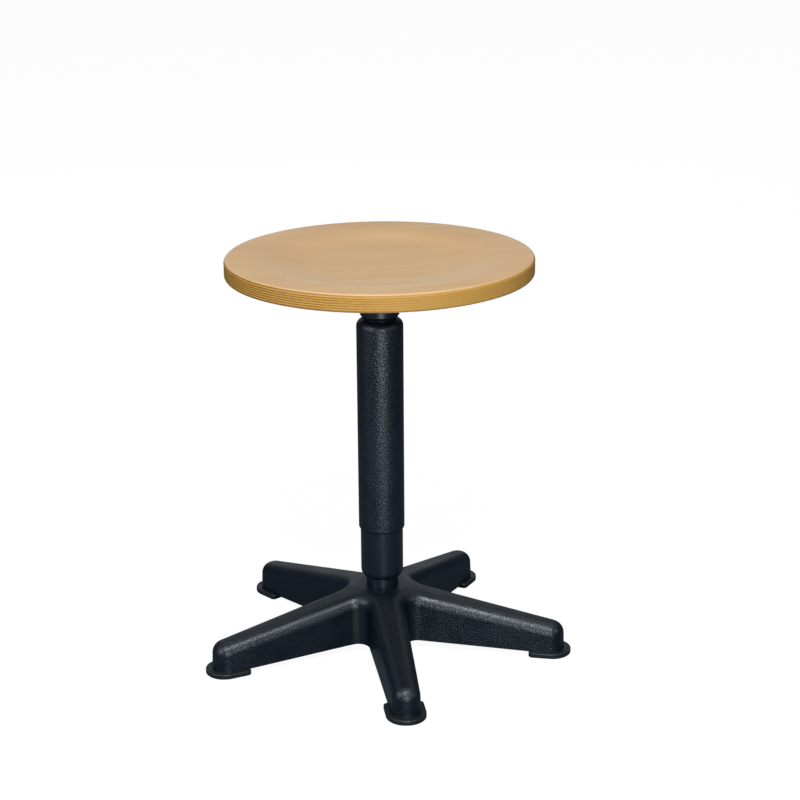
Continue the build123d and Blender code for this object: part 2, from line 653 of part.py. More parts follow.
def base_star():
    """Moulded base: a ribbed skin, a hub boss round a steel insert, and five stem bosses."""
    outside = star_block(0, 0, ARM_TOP_ROUND, 0)
    cavity = star_block(SKIN, SKIN + SKIN_TOP_EXTRA, ARM_TOP_ROUND - SKIN, SKIN_LIFT)
    rib_low = ARCH_HEIGHT + RIB_RECESS
    kept = [rod(HUB_BOSS_DIAMETER, PAD_HEIGHT - 2, HUB_TOP)]
    stem_boss = Cylinder(STEM_BOSS_DIAMETER / 2, HUB_TOP, align=BASE_ALIGN)
    long_rib = Box(TIP_CENTRE, RIB_THICKNESS, HUB_TOP, align=BASE_ALIGN)
    long_rib = Pos(TIP_CENTRE / 2, 0, rib_low) * long_rib
    kept += around(stem_boss, ARM_COUNT, STEM_RADIUS_OUT, -90)
    kept += around(long_rib, ARM_COUNT, 0, -90)
    for place in CROSS_RIBS:
        cross = Pos(0, 0, rib_low) * Box(RIB_THICKNESS, RIB_REACH, HUB_TOP, align=BASE_ALIGN)
        kept += around(cross, ARM_COUNT, place, -90)
    body = outside - (cavity - kept)
    body = body - rod(INSERT_DIAMETER, INSERT_LOW, INSERT_HIGH)
    body = body - rod(SPIGOT_TOP_DIAMETER + HUB_PLAY, PAD_HEIGHT - 2, INSERT_LOW + 1)
    body = body - rod(SPIGOT_TOP_DIAMETER + HUB_PLAY, INSERT_HIGH - 1, HUB_TOP + 1)
    stem_bore = Cylinder(STEM_DIAMETER / 2, STEM_HIGH, align=BASE_ALIGN)
    return body - around(stem_bore, ARM_COUNT, STEM_RADIUS_OUT, -90)


def hub_insert():
    """Steel bush in the hub, with a tapered bore for the stand tube's spigot."""
    low = INSERT_LOW - 1
    high = INSERT_HIGH + 1
    bore = turned_outline(
        (0, low), (spigot_radius(low) + INSERT_PLAY, low),
        (spigot_radius(high) + INSERT_PLAY, high), (0, high),
    )
    return rod(INSERT_DIAMETER, INSERT_LOW, INSERT_HIGH) - bore


def d_plan(inset):
    """D-shaped plan of a glide, pointing along +X, moved in by an inset."""
    radius = GLIDE_RADIUS - inset
    inner = GLIDE_INNER + inset
    outline = [
        Line((inner, -radius), (GLIDE_CENTRE, -radius)),
        ThreePointArc((GLIDE_CENTRE, -radius), (GLIDE_CENTRE + radius, 0), (GLIDE_CENTRE, radius)),
        Line((GLIDE_CENTRE, radius), (inner, radius)),
        Line((inner, radius), (inner, -radius)),
    ]
    plan = make_face(outline)
    return fillet(plan.vertices().group_by(Axis.X)[0], GLIDE_CORNER - min(inset, GLIDE_CORNER / 2))


def glide():
    """Moulded glide: a D-shaped pad with a rounded rim, a fine groove on top and a hole for its stem."""
    pad = extrude(d_plan(0), PAD_HEIGHT)
    pad = fillet(pad.faces().sort_by(Axis.Z)[-1].outer_wire().edges(), GLIDE_TOP_ROUND)
    pad = chamfer(pad.faces().sort_by(Axis.Z)[0].outer_wire().edges(), GLIDE_SOLE_CHAMFER)
    band = d_plan(GLIDE_GROOVE_OUT) - d_plan(GLIDE_GROOVE_OUT + GLIDE_GROOVE)
    groove = Pos(0, 0, PAD_HEIGHT - GLIDE_GROOVE) * extrude(band, 2 * GLIDE_GROOVE)
    stem = Pos(STEM_RADIUS_OUT, 0, STEM_LOW) * Cylinder(STEM_DIAMETER / 2, STEM_HIGH, align=BASE_ALIGN)
    return pad - groove - stem


def glide_stems():
    """Five steel stems, one through each glide into its arm."""
    stem = Pos(0, 0, STEM_LOW) * Cylinder(STEM_DIAMETER / 2, STEM_HIGH - STEM_LOW, align=BASE_ALIGN)
    stem = chamfer(stem.edges().group_by(Axis.Z)[-1], STEM_CHAMFER)
    return Part() + around(stem, ARM_COUNT, STEM_RADIUS_OUT, -90)


# ---------------------------------------------------------------- all nodes

os.makedirs("parts", exist_ok=True)

lever = release_lever()
nodes = {
    "seat_board": seat_board(),
    "seat_plate": seat_plate(),
    "seat_screws": seat_screws(),
    "seat_bracket": seat_bracket(),
    "cone_socket": cone_socket(),
    "release_lever": lever,
    "lever_grip": lever_grip(lever),
    "lever_pin": pivot_cylinder(PIVOT_DIAMETER, PIVOT_LENGTH),
    "lever_spacers": lever_spacers(),
    "pin_clips": pin_clips(),
    "pressure_tube": pressure_tube(),
    "inner_tube": inner_tube(),
    "valve_body": valve_body(),
    "valve_seals": valve_seals(),
    "release_pin": release_pin(),
    "rod_guide": ring(PRESSURE_BORE, ROD_DIAMETER + 2 * RUNNING, GUIDE_LOW, GUIDE_HIGH),
    "rod_seal": ring(PRESSURE_BORE, ROD_DIAMETER + 2 * RUNNING, GUIDE_HIGH, SEAL_HIGH),
    "sleeve_ring": ring(SLEEVE_BORE, PRESSURE_DIAMETER, RING_LOW, RING_HIGH),
    "cover_sleeve": cover_sleeve(),
    "piston_rod": piston_rod(),
    "piston": piston(),
    "piston_seal": piston_seal(),
    "piston_nut": piston_nut(),
    "rubber_buffer": rubber_buffer(),
    "bearing_upper_washer": washer(upper_washer_low(), ROD_NECK_DIAMETER),
    "clip_washer": clip_washer(),
    "rod_clip": rod_clip(),
    "ball_cage": ball_cage(),
    "bearing_balls": bearing_balls(),
    "bearing_lower_washer": washer(BEARING_LOW, LOWER_WASHER_BORE),
    "end_plate": end_plate(),
    "stand_tube": stand_tube(),
    "guide_bush": guide_bush(),
    "hub_insert": hub_insert(),
    "base_star": base_star(),
    "glide_stems": glide_stems(),
}
for index, name in enumerate(GLIDE_NAMES):
    nodes[name] = Rot(0, 0, -90 + 360 * index / ARM_COUNT) * glide()

for name, solid in nodes.items():
    export_step(solid, f"parts/{name}.step")
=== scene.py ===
"""Adjustable swivel stool: a dished plywood seat on a gas-lift column with a five-arm base.

Metres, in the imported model's frame. The stool is put together from the floor up.
"""

import bpy
from math import cos, radians, sin
from mathutils import Matrix, Vector


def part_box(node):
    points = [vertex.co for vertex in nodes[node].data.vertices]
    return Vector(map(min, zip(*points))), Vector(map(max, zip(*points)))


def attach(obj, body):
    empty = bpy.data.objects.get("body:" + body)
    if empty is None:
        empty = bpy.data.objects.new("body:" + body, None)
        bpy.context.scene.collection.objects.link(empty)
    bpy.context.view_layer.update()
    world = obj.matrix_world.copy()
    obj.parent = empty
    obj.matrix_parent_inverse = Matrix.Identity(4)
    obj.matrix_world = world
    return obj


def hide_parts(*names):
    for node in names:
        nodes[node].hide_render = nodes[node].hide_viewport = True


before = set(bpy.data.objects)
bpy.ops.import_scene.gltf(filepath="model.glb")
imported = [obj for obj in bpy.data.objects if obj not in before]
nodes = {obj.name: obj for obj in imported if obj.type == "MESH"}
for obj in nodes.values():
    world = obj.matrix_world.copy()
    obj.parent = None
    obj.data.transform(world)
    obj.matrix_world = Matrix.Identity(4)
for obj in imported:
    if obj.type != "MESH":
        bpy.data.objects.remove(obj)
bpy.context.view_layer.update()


# ------------------------------------------------------------------ steel stems
# Five plain steel stems, cut from drawn bar and zinc plated. Each is pressed through a glide
# into its boss under an arm.

def put(tree, kind, sockets=None, **settings):
    """One shader node: its settings, and its inputs as values or as other nodes' outputs."""
    node = tree.nodes.new(kind)
    for name, value in settings.items():
        setattr(node, name, value)
    for name, value in (sockets or {}).items():
        if isinstance(value, bpy.types.NodeSocket):
            tree.links.new(value, node.inputs[name])
        else:
            node.inputs[name].default_value = value
    return node


def colour_steps(tree, factor, *stops):
    """Colour ramp from (position, grey or colour) stops."""
    ramp = put(tree, "ShaderNodeValToRGB", {"Fac": factor})
    elements = ramp.color_ramp.elements
    while len(elements) < len(stops):
        elements.new(1.0)
    for element, (position, shade) in zip(elements, stops):
        element.position = position
        element.color = (*shade, 1) if isinstance(shade, tuple) else (shade, shade, shade, 1)
    return ramp.outputs["Color"]


def blend_colours(tree, factor, first, second, how="MIX"):
    """Mix of two colours, each a value or an output."""
    mix = tree.nodes.new("ShaderNodeMix")
    mix.data_type = "RGBA"
    mix.blend_type = how
    for index, value in ((0, factor), (6, first), (7, second)):
        if isinstance(value, bpy.types.NodeSocket):
            tree.links.new(value, mix.inputs[index])
        elif index == 0:
            mix.inputs[index].default_value = value
        else:
            mix.inputs[index].default_value = (*value, 1)
    return mix.outputs[2]


def sum_of(tree, first, second, how="ADD", clamp=False):
    """One sum on two numbers or outputs."""
    return put(tree, "ShaderNodeMath", {0: first, 1: second}, operation=how, use_clamp=clamp).outputs[0]


def new_group(name, inputs, outputs):
    """Empty shader group with its sockets; returns the tree and its two end nodes."""
    tree = bpy.data.node_groups.new(name, "ShaderNodeTree")
    for label, kind, value in inputs:
        socket = tree.interface.new_socket(name=label, in_out="INPUT", socket_type=kind)
        if value is not None:
            socket.default_value = value
    for label, kind in outputs:
        tree.interface.new_socket(name=label, in_out="OUTPUT", socket_type=kind)
    return tree, tree.nodes.new("NodeGroupInput"), tree.nodes.new("NodeGroupOutput")


NUMBER = "NodeSocketFloat"
VECTOR = "NodeSocketVector"


def make_handling():
    """Slow cloudy unevenness at two scales, for colour and roughness that vary over a surface."""
    tree, given, result = new_group(
        "handling",
        [("Place", VECTOR, None), ("Scale", NUMBER, 30.0)],
        [("Cloud", NUMBER), ("Fine", NUMBER)],
    )
    cloud = put(tree, "ShaderNodeTexNoise", {
        "Vector": given.outputs["Place"], "Scale": given.outputs["Scale"],
        "Detail": 3.0, "Roughness": 0.6})
    finer = sum_of(tree, given.outputs["Scale"], 14.0, "MULTIPLY")
    fine = put(tree, "ShaderNodeTexNoise", {
        "Vector": given.outputs["Place"], "Scale": finer, "Detail": 4.0, "Roughness": 0.65})
    tree.links.new(cloud.outputs["Fac"], result.inputs["Cloud"])
    tree.links.new(fine.outputs["Fac"], result.inputs["Fine"])
    return tree


def make_edge_wear():
    """Mask of the worn outer edges, broken up by noise."""
    tree, given, result = new_group(
        "edge_wear",
        [("Place", VECTOR, None), ("Width", NUMBER, 0.001), ("Amount", NUMBER, 1.0)],
        [("Worn", NUMBER)],
    )
    soft = put(tree, "ShaderNodeBevel", {"Radius": given.outputs["Width"]}, samples=6)
    flat = tree.nodes.new("ShaderNodeNewGeometry")
    agree = put(tree, "ShaderNodeVectorMath",
                {0: soft.outputs["Normal"], 1: flat.outputs["Normal"]}, operation="DOT_PRODUCT")
    bend = sum_of(tree, 1.0, agree.outputs["Value"], "SUBTRACT")
    broken = put(tree, "ShaderNodeTexNoise", {
        "Vector": given.outputs["Place"], "Scale": 420.0, "Detail": 4.0, "Roughness": 0.7})
    bend = sum_of(tree, bend, 9.0, "MULTIPLY", clamp=True)
    rub = sum_of(tree, broken.outputs["Fac"], bend, "MULTIPLY")
    rub = sum_of(tree, rub, given.outputs["Amount"], "MULTIPLY", clamp=True)
    tree.links.new(rub, result.inputs["Worn"])
    return tree


def make_turned_lines():
    """Fine rings left by a lathe or a drawing die, about the column's axis or along it."""
    tree, given, result = new_group(
        "turned_lines",
        [("Place", VECTOR, None), ("Rings", NUMBER, 900.0), ("Waver", NUMBER, 0.6)],
        [("Line", NUMBER)],
    )
    stretch = put(tree, "ShaderNodeMapping", {
        "Vector": given.outputs["Place"], "Scale": (0.06, 0.06, 1.0)})
    lines = put(tree, "ShaderNodeTexNoise", {
        "Vector": stretch.outputs["Vector"], "Scale": given.outputs["Rings"],
        "Detail": 5.0, "Roughness": 0.6, "Distortion": given.outputs["Waver"]})
    tree.links.new(lines.outputs["Fac"], result.inputs["Line"])
    return tree


handling = make_handling()
edge_wear = make_edge_wear()
turned_lines = make_turned_lines()


def use(tree, group, sockets):
    """A shared group placed in a material."""
    return put(tree, "ShaderNodeGroup", sockets, node_tree=group)


def start_material(name):
    """New material; returns it, its tree, its shader and the Object coordinates."""
    material = bpy.data.materials.new(name)
    material.use_nodes = True
    tree = material.node_tree
    shader = tree.nodes["Principled BSDF"]
    place = tree.nodes.new("ShaderNodeTexCoord").outputs["Object"]
    return material, tree, shader, place


def relief(tree, shader, height, depth, strength=1.0):
    """Bump from a height that runs from 0 to 1, as deep as it is in metres."""
    bump = put(tree, "ShaderNodeBump", {
        "Height": height, "Distance": depth, "Strength": strength})
    tree.links.new(bump.outputs["Normal"], shader.inputs["Normal"])


def metal_finish(name, colour, dull, roughness, rings, depth, wear=0.5, metallic=1.0, cloud=40.0):
    """Bare or plated metal with drawn lines, cloudy tarnish and brighter rubbed edges."""
    material, tree, shader, place = start_material(name)
    film = use(tree, handling, {"Place": place, "Scale": cloud})
    lines = use(tree, turned_lines, {"Place": place, "Rings": rings, "Waver": 0.4})
    worn = use(tree, edge_wear, {"Place": place, "Width": 0.0006, "Amount": wear})
    tarnish = put(tree, "ShaderNodeMapRange", {
        "Value": film.outputs["Cloud"], "From Min": 0.35, "From Max": 0.7})
    tone = blend_colours(tree, tarnish.outputs["Result"], colour, dull)
    bright = tuple(min(1.0, 1.35 * channel + 0.04) for channel in colour)
    tone = blend_colours(tree, worn.outputs["Worn"], tone, bright)
    tree.links.new(tone, shader.inputs["Base Color"])
    rough = put(tree, "ShaderNodeMapRange", {
        "Value": film.outputs["Fine"], "From Min": 0.3, "From Max": 0.7,
        "To Min": roughness * 0.75, "To Max": roughness * 1.3})
    tree.links.new(rough.outputs["Result"], shader.inputs["Roughness"])
    shader.inputs["Metallic"].default_value = metallic
    relief(tree, shader, lines.outputs["Line"], depth)
    return material


def finish_nodes(material, *names):
    """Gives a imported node's mesh its material, in every slot."""
    for name in names:
        mesh = nodes[name].data
        mesh.materials.clear()
        mesh.materials.append(material)


zinc = metal_finish("zinc_plate", (0.58, 0.59, 0.60), (0.40, 0.41, 0.40), 0.30, 700.0, 0.00004)
finish_nodes(zinc, "glide_stems")


# ------------------------------------------------------------------ glides
# Five D-shaped glides, injection moulded in hard black nylon. Each is held under the tip of an
# arm by its stem, and its sole is scuffed grey by the floor.

def make_moulded_grain():
    """Leather-like grain of a spark-eroded mould: rounded cells with a finer roughness on them, and a
    mask of the cell tops that carries a painted glint.
    """
    tree, given, result = new_group(
        "moulded_grain",
        [("Place", VECTOR, None), ("Cell", NUMBER, 0.0008), ("Fineness", NUMBER, 0.4)],
        [("Height", NUMBER), ("GlintSpeck", NUMBER)],
    )
    density = sum_of(tree, 1.0, given.outputs["Cell"], "DIVIDE")
    cells = put(tree, "ShaderNodeTexVoronoi", {
        "Vector": given.outputs["Place"], "Scale": density, "Randomness": 1.0},
        feature="SMOOTH_F1")
    finer = sum_of(tree, density, 2.3, "MULTIPLY")
    dust = put(tree, "ShaderNodeTexNoise", {
        "Vector": given.outputs["Place"], "Scale": finer, "Detail": 3.0, "Roughness": 0.6})
    level = put(tree, "ShaderNodeMapRange", {
        "Value": cells.outputs["Distance"], "From Max": 0.75, "To Min": 1.0, "To Max": 0.0})
    uneven = sum_of(tree, dust.outputs["Fac"], given.outputs["Fineness"], "MULTIPLY")
    height = sum_of(tree, level.outputs["Result"], uneven, "ADD")
    # The highest parts of the grain: the mask for a painted glint that stands in for the grain's
    # sparkle.
    glint_speck = put(tree, "ShaderNodeMapRange", {
        "Value": height, "From Min": 0.95, "From Max": 1.22})
    tree.links.new(height, result.inputs["Height"])
    tree.links.new(glint_speck.outputs["Result"], result.inputs["GlintSpeck"])
    return tree


moulded_grain = make_moulded_grain()


def plastic_finish(name, colour, glint_colour, roughness, cell, depth, wear=0.35, shine=0.5, fineness=0.4,
                   tint=(0.86, 0.95, 1.0)):
    """Moulded black plastic or rubber: grain with a painted glint on its peaks, cloudy roughness and
    rubbed edges.
    """
    material, tree, shader, place = start_material(name)
    grain = use(tree, moulded_grain, {"Place": place, "Cell": cell, "Fineness": fineness})
    film = use(tree, handling, {"Place": place, "Scale": 22.0})
    worn = use(tree, edge_wear, {"Place": place, "Width": 0.0012, "Amount": wear})
    # The grain's peaks take the lighter second colour: a painted glint, not the plastic's own colour.
    tone = blend_colours(tree, grain.outputs["GlintSpeck"], colour, glint_colour)
    rubbed = tuple(2.2 * channel + 0.006 for channel in glint_colour)
    tone = blend_colours(tree, worn.outputs["Worn"], tone, rubbed)
    tree.links.new(tone, shader.inputs["Base Color"])
    rough = put(tree, "ShaderNodeMapRange", {
        "Value": film.outputs["Cloud"], "From Min": 0.3, "From Max": 0.7,
        "To Min": roughness - 0.06, "To Max": roughness + 0.08})
    smoother = sum_of(tree, worn.outputs["Worn"], -0.12, "MULTIPLY")
    tree.links.new(sum_of(tree, rough.outputs["Result"], smoother), shader.inputs["Roughness"])
    shader.inputs["Specular IOR Level"].default_value = shine
    shader.inputs["Specular Tint"].default_value = (*tint, 1)
    relief(tree, shader, grain.outputs["Height"], depth)
    return material


# The second colour is the painted glint on the grain's peaks.
glide_nylon = plastic_finish(
    "glide_nylon", (0.004, 0.006, 0.008), (0.012, 0.015, 0.017), 0.42, 0.0006, 0.00003, wear=0.8)
GLIDES = ("glide_front", "glide_right_front", "glide_right_rear", "glide_left_rear", "glide_left_front")
finish_nodes(glide_nylon, *GLIDES)


# ------------------------------------------------------------------ base
# Five-arm base, injection moulded in one piece in glass-filled nylon, with a grained face and
# ribs under its skin. A turned steel bush is moulded into the hub for the column's taper.

# The second colour is the painted glint on the grain's peaks.
grained_nylon = plastic_finish(
    "grained_nylon", (0.0002, 0.0020, 0.0052), (0.014, 0.019, 0.024), 0.36, 0.0014, 0.00020, wear=0.2,
    shine=0.52)
finish_nodes(grained_nylon, "base_star")

ground_steel = metal_finish(
    "ground_steel", (0.52, 0.53, 0.54), (0.34, 0.34, 0.34), 0.24, 1200.0, 0.00002, wear=0.3)
finish_nodes(ground_steel, "hub_insert", "bearing_lower_washer", "bearing_upper_washer",
             "bearing_balls", "end_plate")


# ------------------------------------------------------------------ column tube
# Steel column tube, drawn in to a tapered spigot at the foot and painted satin black. The
# spigot is pressed into the hub, and a plastic bush in its mouth guides the gas spring.

def paint_finish(name, colour, roughness, depth, scale, shine=0.5, bare=(0.30, 0.30, 0.30)):
    """Sprayed paint on steel: faint orange peel, fine specks and metal showing at worn edges."""
    material, tree, shader, place = start_material(name)
    film = use(tree, handling, {"Place": place, "Scale": 26.0})
    worn = use(tree, edge_wear, {"Place": place, "Width": 0.0005, "Amount": 0.7})
    peel = put(tree, "ShaderNodeTexNoise", {
        "Vector": place, "Scale": scale, "Detail": 2.0, "Roughness": 0.5})
    lighter = tuple(1.7 * channel + 0.002 for channel in colour)
    tone = blend_colours(tree, film.outputs["Fine"], colour, lighter)
    chipped = put(tree, "ShaderNodeMapRange", {
        "Value": worn.outputs["Worn"], "From Min": 0.42, "From Max": 0.6})
    tone = blend_colours(tree, chipped.outputs["Result"], tone, bare)
    tree.links.new(tone, shader.inputs["Base Color"])
    rough = put(tree, "ShaderNodeMapRange", {
        "Value": film.outputs["Cloud"], "From Min": 0.3, "From Max": 0.7,
        "To Min": roughness - 0.05, "To Max": roughness + 0.06})
    tree.links.new(rough.outputs["Result"], shader.inputs["Roughness"])
    tree.links.new(chipped.outputs["Result"], shader.inputs["Metallic"])
    shader.inputs["Specular IOR Level"].default_value = shine
    shader.inputs["Specular Tint"].default_value = (0.86, 0.95, 1.0, 1)
    relief(tree, shader, peel.outputs["Fac"], depth)
    return material


satin_black = paint_finish("satin_black", (0.0002, 0.0018, 0.0048), 0.34, 0.00003, 900.0, shine=0.62)
finish_nodes(satin_black, "stand_tube")

# The second colour is the painted glint on the grain's peaks.
pale_nylon = plastic_finish(
    "pale_nylon", (0.60, 0.58, 0.52), (0.68, 0.66, 0.60), 0.40, 0.0007, 0.00002, wear=0.1, shine=0.4)
finish_nodes(pale_nylon, "guide_bush", "ball_cage", "sleeve_ring")


# ------------------------------------------------------------------ gas spring
# Gas spring: a painted pressure tube with a coned head, a hard-chromed rod that stands on the
# thrust bearing, and the piston, valve and seals inside, of turned brass, steel and rubber.

finish_nodes(satin_black, "pressure_tube")
chromed = metal_finish(
    "hard_chrome", (0.62, 0.63, 0.65), (0.54, 0.55, 0.57), 0.10, 2400.0, 0.000006, wear=0.1)
finish_nodes(chromed, "piston_rod")
bare_tube = metal_finish(
    "drawn_steel", (0.46, 0.46, 0.46), (0.28, 0.27, 0.26), 0.34, 500.0, 0.00003, wear=0.3)
finish_nodes(bare_tube, "inner_tube", "rod_guide", "piston", "piston_nut")
brass = metal_finish(
    "turned_brass", (0.62, 0.45, 0.18), (0.40, 0.26, 0.10), 0.26, 1500.0, 0.00002, wear=0.4)
finish_nodes(brass, "valve_body", "release_pin")
# The second colour is the painted glint on the grain's peaks.
rubber = plastic_finish(
    "moulded_rubber", (0.010, 0.010, 0.011), (0.020, 0.020, 0.021), 0.68, 0.0005, 0.00003,
    wear=0.2, shine=0.3)
finish_nodes(rubber, "valve_seals", "rod_seal", "piston_seal", "rubber_buffer")
finish_nodes(zinc, "rod_clip", "clip_washer")


# ------------------------------------------------------------------ cover sleeve
# Telescopic cover, injection moulded in black plastic with a fine grain, closed by a rounded
# shoulder. It hangs on the pressure tube and slides down over the column tube.

# The second colour is the painted glint on the grain's peaks.
sleeve_plastic = plastic_finish(
    "sleeve_plastic", (0.0002, 0.0022, 0.0060), (0.014, 0.018, 0.022), 0.38, 0.0013, 0.00026, wear=0.2,
    shine=0.6)
finish_nodes(sleeve_plastic, "cover_sleeve")


# ------------------------------------------------------------------ seat fixing
# Steel plate with the bracket and the turned neck welded under it, powder coated black, and
# held to the board by four pan-head screws. The lever turns on a pin between two spacers.

powder_black = paint_finish("powder_black", (0.002, 0.0035, 0.0045), 0.38, 0.00005, 1300.0)
finish_nodes(powder_black, "seat_plate", "seat_bracket", "cone_socket", "release_lever")
finish_nodes(zinc, "seat_screws", "lever_pin", "lever_spacers", "pin_clips")

# The second colour is the painted glint on the grain's peaks.
grip_plastic = plastic_finish(
    "grip_plastic", (0.004, 0.005, 0.006), (0.012, 0.014, 0.016), 0.45, 0.0006, 0.00005, wear=0.5)
finish_nodes(grip_plastic, "lever_grip")


# ------------------------------------------------------------------ seat board
# Round board of fifteen beech veneers, glued with the grain crossed and pressed in a mould to a
# shallow dish. The edge is turned and rounded, sanded and lacquered, so every layer shows.

PLY_COUNT = 15
BOARD_SIDES = 256
GLUE_LINE = 0.00012             # half the width of the groove at a glue line
GLUE_DEPTH = 0.00005
GRAIN_TURN = radians(24)        # heading of the face veneer's grain
CROSS_TURN = radians(215)       # heading where the crossed layers show strongest on the edge
LONG_GRAIN = (0.455, 0.248, 0.043)
END_GRAIN = (0.200, 0.078, 0.006)
GLUE_BROWN = (0.17, 0.075, 0.018)
FLECK_BROWN = (0.38, 0.20, 0.085)
SOILED_BROWN = (0.36, 0.22, 0.11)
board_low, board_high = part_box("seat_board")
board_radius = board_high.x
rim_top = board_high.z
board_thickness = 0.020
dish_depth = 0.009
dish_flat = 0.075
dish_rim = 0.152
top_round = 0.004
bottom_round = 0.0025
rim_bottom = rim_top - board_thickness
ply = board_thickness / PLY_COUNT


def dish_drop(radius):
    """How far the dish lies under the rim at a radius, with the two arcs of the pressed shape."""
    if radius >= dish_rim:
        return 0.0
    if radius <= dish_flat:
        return dish_depth
    half = (dish_rim - dish_flat) / 2
    arc = (half * half + dish_depth * dish_depth / 4) / dish_depth
    from_flat = radius - dish_flat
    if from_flat <= half:
        return dish_depth - arc + (arc * arc - from_flat * from_flat) ** 0.5
    to_rim = dish_rim - radius
    return arc - (arc * arc - to_rim * to_rim) ** 0.5


def board_profile():
    """(radius, height) points from the middle of the underside round the edge to the middle."""
    inner = [0.004, 0.03, 0.055] + [dish_flat + (dish_rim - dish_flat) * step / 18 for step in range(19)]
    points = [(radius, rim_bottom - dish_drop(radius)) for radius in inner]
    points += [(0.160, rim_bottom), (0.167, rim_bottom)]
    for step in range(7):
        turn = radians(90 * step / 6)
        points.append((board_radius - bottom_round + bottom_round * sin(turn),
                       rim_bottom + bottom_round - bottom_round * cos(turn)))
    for line in range(2, PLY_COUNT - 2):
        height = rim_bottom + line * ply
        points += [(board_radius, height - GLUE_LINE), (board_radius - GLUE_DEPTH, height),
                   (board_radius, height + GLUE_LINE)]
    for step in range(9):
        turn = radians(90 * step / 8)
        points.append((board_radius - top_round + top_round * cos(turn),
                       rim_top - top_round + top_round * sin(turn)))
    points += [(0.167, rim_top), (0.160, rim_top)]
    points += [(radius, rim_top - dish_drop(radius)) for radius in reversed(inner)]
    return points


def turn_up(name, profile, sides):
    """Solid turned piece: a disc is extruded from point to point of its profile, then closed."""
    bpy.ops.object.select_all(action="DESELECT")
    radius, height = profile[0]
    bpy.ops.mesh.primitive_circle_add(vertices=sides, radius=radius, fill_type="TRIFAN",
                                      location=(0, 0, height))
    piece = bpy.context.active_object
    piece.name = piece.data.name = name
    bpy.ops.object.transform_apply(location=True)
    bpy.ops.object.mode_set(mode="EDIT")
    bpy.ops.mesh.select_all(action="SELECT")
    for next_radius, next_height in profile[1:]:
        bpy.ops.mesh.extrude_region_move(
            TRANSFORM_OT_translate={"value": (0, 0, next_height - height)})
        share = next_radius / radius
        bpy.ops.transform.resize(value=(share, share, 1), center_override=(0, 0, next_height))
        radius, height = next_radius, next_height
    bpy.ops.mesh.select_all(action="SELECT")
    bpy.ops.mesh.normals_make_consistent(inside=False)
    bpy.ops.object.mode_set(mode="OBJECT")
    bpy.ops.object.shade_smooth_by_angle(angle=radians(40))
    return piece


